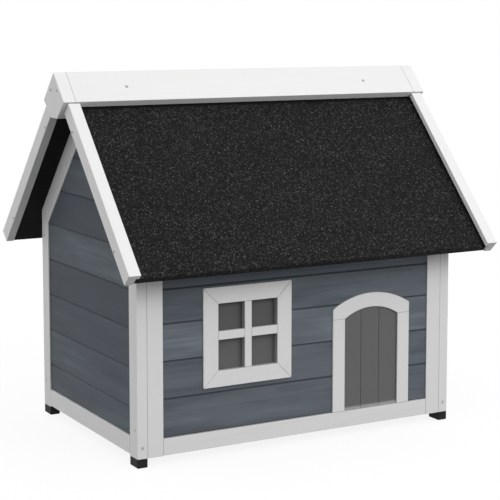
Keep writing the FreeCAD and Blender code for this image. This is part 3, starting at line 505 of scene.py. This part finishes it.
def mineral_felt(name):
    """Bitumen felt covered in granules, most of them dark and a few light."""
    colours = bpy.context.scene.cat_house_roof
    finish = Finish(name)
    place = finish.place()
    grains = finish.node("ShaderNodeTexVoronoi", {"feature": "F1"},
                         {"Vector": place, "Scale": 1 / colours.granule_size})
    chance = finish.parts(grains.outputs["Color"])[0]
    dome = Number(finish, grains.outputs["Distance"])
    clump = finish.noise(place, (230.0, 230.0, 230.0), 2.0, 0.7)
    drift = finish.noise(place, (9.0, 9.0, 9.0), 3.0)
    body = finish.mix(clump.smooth(0.36, 0.68) * (0.45 + drift * 0.8), opaque(colours.bitumen),
                      opaque(colours.granule))
    light = (chance + clump * 0.75).smooth(1.25, 1.40)
    granules = finish.mix(light, body, opaque(colours.fleck))
    # Painted shade under the ridge boards: the felt takes the dark bitumen colour just below them
    ridge_shade = finish.spot()[2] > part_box("front_ridge_board")[0].z - colours.ridge_shade_reach
    return finish.set(
        Base_Color=finish.mix(ridge_shade, granules, opaque(colours.bitumen)),
        Roughness=0.82 + dome * 0.1,
        Specular_IOR_Level=0.16,
        Normal=finish.bump(1.0 - dome + chance * 0.4, 0.55, 0.0008),
    ).material


def moulded_plastic(name, colour):
    """Black plastic with a fine spark-eroded texture."""
    finish = Finish(name)
    place = finish.place()
    speck = finish.noise(place, (900.0, 900.0, 900.0), 2.0)
    scuff = finish.noise(place, (60.0, 60.0, 160.0), 4.0)
    return finish.set(
        Base_Color=finish.mix(scuff.smooth(0.5, 0.8) * 0.5, opaque(colour), SCUFFED_PLASTIC),
        Roughness=0.56 + speck * 0.14,
        Specular_IOR_Level=0.22,
        Normal=finish.bump(speck, 0.3, 0.0002),
    ).material


def tinted_pane(name, colour):
    """Satin tinted sheet, painted lighter towards its lower edge where more light falls, with a
    little dust all over.
    """
    finish = Finish(name)
    place = finish.place()
    low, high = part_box("window_pane")
    height = finish.spot()[2]
    dust = finish.noise(place, (40.0, 40.0, 40.0), 4.0)
    # Painted light: the pane is lighter towards its lower edge; the noise on top is dust
    painted_light_and_dust = (1.0 - (height - low.z).smooth(0.0, high.z - low.z)) * 0.5 + dust * 0.2
    return finish.set(
        Base_Color=finish.mix(painted_light_and_dust, opaque(colour), PANE_LIGHT_AND_DUST),
        Roughness=0.45 + dust * 0.12,
        Specular_IOR_Level=0.25,
    ).material


def soft_strip(name, colour, seed):
    """Smooth flexible sheet with faint drawing lines along its length."""
    finish = Finish(name)
    place = finish.place(UPWARDS, LENGTHWAYS, (0.4 * seed, 0.0, 0.0))
    lines = finish.noise(place, (3.0, 260.0, 260.0), 2.0)
    cloud = finish.noise(place, (9.0, 25.0, 25.0), 3.0)
    settings = bpy.context.scene.cat_house_door
    low_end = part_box("door_left_strip")[0].z
    # Painted light at the strips' lower ends, standing for the lit rail top below them
    pale = 1.0 - (finish.spot()[2] - low_end).smooth(0.0, settings.painted_lit_height)
    body = finish.mix(lines * 0.3 + cloud * 0.3, opaque(colour), STRIP_SHEEN)
    return finish.set(
        Base_Color=finish.mix(pale, body, opaque(settings.painted_lit_ends)),
        Roughness=0.34 + cloud * 0.12,
        Normal=finish.bump(lines, 0.08, 0.0003),
    ).material


def zinc_plate(name, colour):
    """Plated steel, a little dull and streaked."""
    finish = Finish(name)
    place = finish.place()
    dull = finish.noise(place, (500.0, 500.0, 500.0), 3.0)
    return finish.set(
        Base_Color=finish.mix(dull * 0.5, opaque(colour), opaque(colour * 0.4)),
        Roughness=0.4 + dull * 0.2,
        Metallic=1.0,
        Normal=finish.bump(dull, 0.1, 0.0001),
    ).material


# Helpers for pieces

def paint(node, material):
    """Give a carried-over CAD node its finish."""
    for place in NODES[node].material_slots:
        place.material = material


def slope_direction(end):
    """The way down one slope of the roof, from the front panel's box."""
    low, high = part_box("front_roof_panel")
    run = Vector((0, high.y - low.y, high.z - low.z))
    angle = math.atan2(run.z, run.y)
    return Vector((0, end * math.cos(angle), -math.sin(angle)))


def new_piece(name, body, mesh, material, replaced):
    """An object from a finished mesh that rides on a body and stands for CAD nodes."""
    data = bpy.data.meshes.new(name)
    mesh.to_mesh(data)
    mesh.free()
    data.materials.append(material)
    piece = bpy.data.objects.new(name, data)
    bpy.context.scene.collection.objects.link(piece)
    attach(piece, body)
    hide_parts(*replaced)
    return piece


def islands(node):
    """The separate solids of a CAD node, each as a list of its corners."""
    mesh = bmesh.new()
    mesh.from_mesh(NODES[node].data)
    bmesh.ops.remove_doubles(mesh, verts=mesh.verts, dist=CAD_MERGE)
    seen = set()
    found = []
    for start in mesh.verts:
        if start in seen:
            continue
        seen.add(start)
        reached = [start]
        for vertex in reached:
            for edge in vertex.link_edges:
                other = edge.other_vert(vertex)
                if other not in seen:
                    seen.add(other)
                    reached.append(other)
        found.append([vertex.co.copy() for vertex in reached])
    mesh.free()
    return sorted(found, key=lambda corners: [round(part, 4) for part in corners_middle(corners)])


def corners_middle(corners):
    """The middle of a set of corners."""
    return sum(corners, Vector()) / len(corners)


def pin_frame(corners):
    """Where a fastener's head is, which way it faces, its length and its head's radius.

    The axis starts as the way in which the corners spread most, and then joins the middles of the
    two ends.
    """
    middle = corners_middle(corners)
    arms = [corner - middle for corner in corners]
    axis = max(arms, key=lambda arm: arm.length).normalized()
    for _ in range(AXIS_ROUNDS):
        axis = sum((arm * arm.dot(axis) for arm in arms), Vector()).normalized()
    for reach in END_REACHES:
        places = [corner.dot(axis) for corner in corners]
        low, high = min(places), max(places)
        near_low = [corner for corner, place in zip(corners, places) if place < low + reach]
        near_high = [corner for corner, place in zip(corners, places) if place > high - reach]
        axis = (corners_middle(near_high) - corners_middle(near_low)).normalized()
    reach_low = max((corner - corners_middle(near_low)).length for corner in near_low)
    reach_high = max((corner - corners_middle(near_high)).length for corner in near_high)
    length = (corners_middle(near_high) - corners_middle(near_low)).length
    if reach_low > reach_high:
        return corners_middle(near_low), -axis, length, reach_low
    return corners_middle(near_high), axis, length, reach_high


def lathe(mesh, profile, sides):
    """Turn an outline of radius and height once round Z."""
    points = [mesh.verts.new((radius, 0, height)) for radius, height in profile]
    edges = [mesh.edges.new(pair) for pair in zip(points, points[1:])]
    bmesh.ops.spin(mesh, geom=points + edges, cent=(0, 0, 0), axis=(0, 0, 1), dvec=(0, 0, 0),
                   angle=math.tau, steps=sides, use_merge=True, use_duplicate=False)
    bmesh.ops.remove_doubles(mesh, verts=mesh.verts, dist=PIN_MERGE)


def add_pin(group, corners, cross):
    """Add one screw or nail to a group: a turned head and shank, with a cross slot in a screw."""
    settings = bpy.context.scene.cat_house_fasteners
    head, outward, length, radius = pin_frame(corners)
    shank = radius * SHANK
    rim = radius * RIM
    pin = bmesh.new()
    lower = [(radius, -radius * HEAD_TOP), (radius, -radius * HEAD_SIDE), (shank, -radius * NECK),
             (shank, -length * POINT_START), (0, -length)]
    if cross:
        lathe(pin, [(rim, 0.0)] + lower, settings.sides)
        add_cross_slot(pin, rim, radius, settings)
    else:
        crown = [(0, 0.0), (rim * CROWN, -radius * CROWN_FALL), (rim, -radius * CROWN_EDGE)]
        lathe(pin, crown + lower, settings.sides)
    bmesh.ops.recalc_face_normals(pin, faces=pin.faces)
    turn = outward.to_track_quat("Z", "Y").to_matrix().to_4x4()
    spin = Matrix.Rotation(head.x * CROSS_TURN_ALONG + head.z * CROSS_TURN_UP, 4, "Z")
    bmesh.ops.transform(pin, matrix=Matrix.Translation(head) @ turn @ spin, verts=pin.verts)
    data = bpy.data.meshes.new("pin")
    pin.to_mesh(data)
    pin.free()
    group.from_mesh(data)
    bpy.data.meshes.remove(data)


def add_cross_slot(pin, rim, radius, settings):
    """Close a screw head with a flat top that has a cross slot in it."""
    arm, half = radius * CROSS_ARM, settings.recess_width / 2
    outline = [(arm, -half), (arm, half), (half, half), (half, arm), (-half, arm), (-half, half),
               (-arm, half), (-arm, -half), (-half, -half), (-half, -arm), (half, -arm),
               (half, -half)]
    corners = [pin.verts.new((x, y, 0)) for x, y in outline]
    slot_edges = [pin.edges.new((corners[index], corners[(index + 1) % len(corners)]))
                  for index in range(len(corners))]
    rim_edges = [edge for edge in pin.edges if edge.is_boundary
                 and all(abs(vertex.co.z) < PIN_MERGE for vertex in edge.verts)]
    bmesh.ops.triangle_fill(pin, use_beauty=True, edges=rim_edges + slot_edges)
    inside = [face for face in pin.faces if all(vertex in corners for vertex in face.verts)
              and face_in_cross(face, arm, half)]
    bmesh.ops.delete(pin, geom=inside, context="FACES_ONLY")
    walls = bmesh.ops.extrude_edge_only(pin, edges=slot_edges)["geom"]
    floor = [item for item in walls if isinstance(item, bmesh.types.BMVert)]
    bmesh.ops.scale(pin, verts=floor, vec=(CROSS_TAPER, CROSS_TAPER, 1))
    bmesh.ops.translate(pin, verts=floor, vec=(0, 0, -settings.recess_depth))
    bmesh.ops.holes_fill(pin, edges=[item for item in walls if isinstance(item, bmesh.types.BMEdge)
                                     and item.is_boundary], sides=0)


def face_in_cross(face, arm, half):
    """Whether a face lies inside the arms of the cross slot."""
    middle = face.calc_center_median()
    x, y = abs(middle.x), abs(middle.y)
    return (x < half and y < arm) or (y < half and x < arm)


# Operators

class CATHOUSE_OT_timber(bpy.types.Operator):
    """Paint the frames, casings, ridge boards and barge boards white"""
    bl_idname = "cathouse.timber"
    bl_label = "White timber"

    def execute(self, context):
        down = {"front": slope_direction(-1), "rear": slope_direction(1)}
        pieces = {}
        for wall in ("front", "back"):
            for part in ("left_stile", "right_stile"):
                pieces[f"{wall}_{part}"] = (UPWARDS, LENGTHWAYS)
            for part in ("bottom_rail", "top_rail"):
                pieces[f"{wall}_{part}"] = (LENGTHWAYS, UPWARDS)
        for gable in ("left", "right"):
            pieces[f"{gable}_gable_bottom_rail"] = (DEPTHWAYS, UPWARDS)
            pieces[f"{gable}_ridge_block"] = (UPWARDS, DEPTHWAYS)
            for end in ("front", "rear"):
                pieces[f"{gable}_gable_{end}_stile"] = (UPWARDS, DEPTHWAYS)
                pieces[f"{gable}_gable_{end}_rafter"] = (down[end], LENGTHWAYS)
                pieces[f"{end}_{gable}_barge_board"] = (down[end], LENGTHWAYS)
        for end in ("front", "rear"):
            pieces[f"{end}_ridge_board"] = (LENGTHWAYS, down[end])
        for side in ("left", "right"):
            pieces[f"window_{side}_casing"] = (UPWARDS, LENGTHWAYS)
            pieces[f"door_{side}_jamb"] = (UPWARDS, LENGTHWAYS)
            pieces[f"window_{side}_bar"] = (LENGTHWAYS, UPWARDS)
        for side in ("top", "bottom"):
            pieces[f"window_{side}_casing"] = (LENGTHWAYS, UPWARDS)
        pieces["window_upright_bar"] = (UPWARDS, LENGTHWAYS)
        pieces["door_arch_head"] = (LENGTHWAYS, UPWARDS)
        for seed, (node, (along, across)) in enumerate(sorted(pieces.items()), start=1):
            others = [other for other in pieces if other != node]
            paint(node, white_timber(node, along, across, seed, others))
        return {"FINISHED"}


class CATHOUSE_OT_boards(bpy.types.Operator):
    """Stain the wall boards and the batten over the door"""
    bl_idname = "cathouse.boards"
    bl_label = "Wall boards"

    def execute(self, context):
        rows = context.scene.cat_house_boards
        front = [rows.front_first] + [rows.front_cover] * 2 + [rows.front_upper]
        gable = [rows.gable_first] + [rows.gable_cover] * 6
        for node in ("front_boards", "back_boards"):
            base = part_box(node)[0].z
            paint(node, stained_boards(f"stain_{node}", LENGTHWAYS, base, front, rows.groove,
                                       rows.front_seed, rows.front_shine,
                                       holes=node == "front_boards"))
        paint("door_strip_batten", NODES["front_boards"].material_slots[0].material)
        for node in ("left_gable_boards", "right_gable_boards"):
            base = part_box(node)[0].z
            paint(node, stained_boards(f"stain_{node}", DEPTHWAYS, base, gable, rows.gable_groove,
                                       rows.gable_seed, rows.gable_shine, rows.gable_depth,
                                       rows.gable_contrast))
        return {"FINISHED"}


class CATHOUSE_OT_roof(bpy.types.Operator):
    """Cover the roof in mineral felt over dark panels"""
    bl_idname = "cathouse.roof"
    bl_label = "Roof"

    def execute(self, context):
        black = context.scene.cat_house_timber.roof_black
        felt = mineral_felt("mineral_felt")
        under = bare_wood("roof_underside", LENGTHWAYS, black, ROOF_RINGS, 0.65, 0.08)
        paint("ridge_felt", felt)
        for end in ("front", "rear"):
            paint(f"{end}_roof_felt", felt)
            paint(f"{end}_roof_panel", under)
        return {"FINISHED"}


class CATHOUSE_OT_window(bpy.types.Operator):
    """Give the window its tinted pane"""
    bl_idname = "cathouse.window"
    bl_label = "Window pane"

    def execute(self, context):
        paint("window_pane", tinted_pane("tinted_pane", context.scene.cat_house_door.pane))
        return {"FINISHED"}


class CATHOUSE_OT_strips(bpy.types.Operator):
    """Hang the three flexible strips in the doorway"""
    bl_idname = "cathouse.strips"
    bl_label = "Door strips"

    def execute(self, context):
        settings = context.scene.cat_house_door
        for seed, which in enumerate(("left", "middle", "right"), start=1):
            node = f"door_{which}_strip"
            low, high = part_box(node)
            low.z -= settings.overlap
            middle, span = (low + high) / 2, high - low
            mesh = bmesh.new()
            bmesh.ops.create_cube(mesh, size=1.0)
            bmesh.ops.scale(mesh, vec=span, verts=mesh.verts)
            for axis, cuts in STRIP_CUTS:
                lengthways = [edge for edge in mesh.edges
                              if abs((edge.verts[0].co - edge.verts[1].co)[axis]) > span[axis] / 2]
                bmesh.ops.subdivide_edges(mesh, edges=lengthways, cuts=cuts, use_grid_fill=True)
            rim = [edge for edge in mesh.edges if len(edge.link_faces) == 2
                   and edge.calc_face_angle(0) > SHARP_ANGLE]
            bmesh.ops.bevel(mesh, geom=rim, offset=settings.edge, offset_type="OFFSET", segments=2,
                            profile=0.5, affect="EDGES", material=-1, clamp_overlap=True)
            for vertex in mesh.verts:
                across = 2 * vertex.co.x / span.x
                down = min(0.5 - vertex.co.z / span.z, 1)
                bulge = (1 - across * across) * math.sin(math.pi * down ** 0.8)
                vertex.co.y += settings.bow * bulge
            bmesh.ops.translate(mesh, vec=middle, verts=mesh.verts)
            bmesh.ops.recalc_face_normals(mesh, faces=mesh.faces)
            material = soft_strip(f"soft_{which}_strip", settings.strip, seed)
            piece = new_piece(f"{which}_door_strip", f"{which}_strip", mesh, material,
                              [node])
            for face in piece.data.polygons:
                face.use_smooth = True
        return {"FINISHED"}


class CATHOUSE_OT_fasteners(bpy.types.Operator):
    """Put in the screws and nails"""
    bl_idname = "cathouse.fasteners"
    bl_label = "Screws and nails"

    def execute(self, context):
        settings = context.scene.cat_house_fasteners
        zinc = zinc_plate("zinc_plate", settings.screw)
        dull = zinc_plate("dull_steel", settings.nail)
        for node, steel in (("frame_screws", zinc), ("cap_screws", zinc), ("roof_nails", dull)):
            mesh = bmesh.new()
            for corners in islands(node):
                add_pin(mesh, corners, steel is zinc)
            new_piece(f"{node}_finished", "house", mesh, steel, [node])
        return {"FINISHED"}


class CATHOUSE_OT_base(bpy.types.Operator):
    """Finish the feet, the floor and its bearers"""
    bl_idname = "cathouse.base"
    bl_label = "Feet and floor"

    def execute(self, context):
        timber = context.scene.cat_house_timber
        plastic = moulded_plastic("foot_plastic", context.scene.cat_house_door.foot)
        wood = bare_wood("bare_floor", LENGTHWAYS, timber.end_grain, timber.late_wood, 0.55)
        for end in ("front", "rear"):
            paint(f"{end}_floor_bearer", wood)
            for side in ("left", "right"):
                paint(f"{end}_{side}_foot", plastic)
        paint("floor_panel", wood)
        return {"FINISHED"}


class CATHOUSE_OT_stage(bpy.types.Operator):
    """Set up the floor, the light and the camera"""
    bl_idname = "cathouse.stage"
    bl_label = "Stage"

    def execute(self, context):
        studio = context.scene.cat_house_studio
        context.scene.view_settings.view_transform = "Standard"
        make_world(context.scene, studio.sky)
        make_floor(context.scene, studio)
        make_lamp(context.scene, studio)
        make_camera(context.scene, studio.lens)
        return {"FINISHED"}


def seen_by_camera(nodes, links):
    """One where a ray comes from the camera, from gloss or through glass, and nought elsewhere."""
    path = nodes.new("ShaderNodeLightPath")
    total = path.outputs["Is Camera Ray"]
    for name in ("Is Glossy Ray", "Is Transmission Ray"):
        either = nodes.new("ShaderNodeMath")
        either.operation = "MAXIMUM"
        links.new(total, either.inputs[0])
        links.new(path.outputs[name], either.inputs[1])
        total = either.outputs[0]
    return total


def make_world(scene, strength):
    """Even white light from all round, and a white background for the camera."""
    world = bpy.data.worlds.new("studio")
    world.use_nodes = True
    scene.world = world
    tree = world.node_tree
    background = tree.nodes["Background"]
    background.inputs["Color"].default_value = (1, 1, 1, 1)
    level = tree.nodes.new("ShaderNodeMapRange")
    level.inputs["To Min"].default_value = strength
    level.inputs["To Max"].default_value = 1.0
    tree.links.new(seen_by_camera(tree.nodes, tree.links), level.inputs["Value"])
    tree.links.new(level.outputs[0], background.inputs["Strength"])


def make_floor(scene, studio):
    """A wide pale floor that keeps the shadow and looks white to the camera."""
    mesh = bmesh.new()
    bmesh.ops.create_grid(mesh, x_segments=1, y_segments=1, size=FLOOR_REACH)
    bmesh.ops.translate(mesh, vec=(0, 0, -FLOOR_GAP), verts=mesh.verts)
    data = bpy.data.meshes.new("studio_floor")
    mesh.to_mesh(data)
    mesh.free()
    finish = Finish("studio_floor")
    glow = finish.mix(seen_by_camera(finish.tree.nodes, finish.tree.links), (0, 0, 0, 1),
                      opaque(studio.floor_glow))
    finish.set(Base_Color=opaque(studio.floor), Roughness=0.9, Specular_IOR_Level=0.0,
               Emission_Color=glow, Emission_Strength=1.0)
    data.materials.append(finish.material)
    floor = bpy.data.objects.new("studio_floor", data)
    scene.collection.objects.link(floor)


def make_lamp(scene, studio):
    """One large soft lamp in front and a little to the right."""
    light = bpy.data.lights.new("soft_lamp", "AREA")
    light.shape = "DISK"
    light.size = studio.lamp_width
    light.energy = studio.lamp
    lamp = bpy.data.objects.new("soft_lamp", light)
    lamp.location = LAMP_PLACE
    aim = Vector(LAMP_AIM) - Vector(LAMP_PLACE)
    lamp.rotation_euler = aim.to_track_quat("-Z", "Y").to_euler()
    scene.collection.objects.link(lamp)


def make_camera(scene, lens):
    """The camera where the photo was taken from."""
    camera_data = bpy.data.cameras.new("camera")
    camera_data.sensor_width = SENSOR_WIDTH
    camera_data.lens = lens
    camera_data.shift_y = CAMERA_SHIFT
    camera = bpy.data.objects.new("camera", camera_data)
    camera.location = CAMERA_PLACE
    camera.rotation_euler = (math.pi / 2 - CAMERA_DIP, 0, -CAMERA_HEADING)
    scene.collection.objects.link(camera)
    scene.camera = camera


STEPS = (CATHOUSE_OT_timber, CATHOUSE_OT_boards, CATHOUSE_OT_roof, CATHOUSE_OT_window,
         CATHOUSE_OT_strips, CATHOUSE_OT_fasteners, CATHOUSE_OT_base, CATHOUSE_OT_stage)


class CATHOUSE_PT_panel(bpy.types.Panel):
    """Lists the finishing steps and their settings"""
    bl_idname = "CATHOUSE_PT_panel"
    bl_label = "Cat house"
    bl_space_type = "VIEW_3D"
    bl_region_type = "UI"
    bl_category = "Cat house"

    def draw(self, context):
        for step in STEPS:
            self.layout.operator(step.bl_idname)
        for name in GROUPS:
            settings = getattr(context.scene, name)
            box = self.layout.box()
            for prop in settings.bl_rna.properties:
                if prop.identifier not in ("name", "rna_type"):
                    box.prop(settings, prop.identifier)


GROUPS = {
    "cat_house_timber": TimberSettings,
    "cat_house_boards": BoardSettings,
    "cat_house_roof": RoofSettings,
    "cat_house_door": DoorSettings,
    "cat_house_fasteners": FastenerSettings,
    "cat_house_studio": StudioSettings,
}
CLASSES = (*GROUPS.values(), *STEPS, CATHOUSE_PT_panel)


def register():
    """Add the settings, steps and panel."""
    for kind in CLASSES:
        bpy.utils.register_class(kind)
    for name, kind in GROUPS.items():
        setattr(bpy.types.Scene, name, PointerProperty(type=kind))


def unregister():
    """Take them away again."""
    for name in GROUPS:
        delattr(bpy.types.Scene, name)
    for kind in reversed(CLASSES):
        bpy.utils.unregister_class(kind)


def main():
    """Run every step."""
    register()
    for step in STEPS:
        group, name = step.bl_idname.split(".")
        getattr(getattr(bpy.ops, group), name)()
    bpy.context.view_layer.update()


if __name__ == "__main__":
    main()
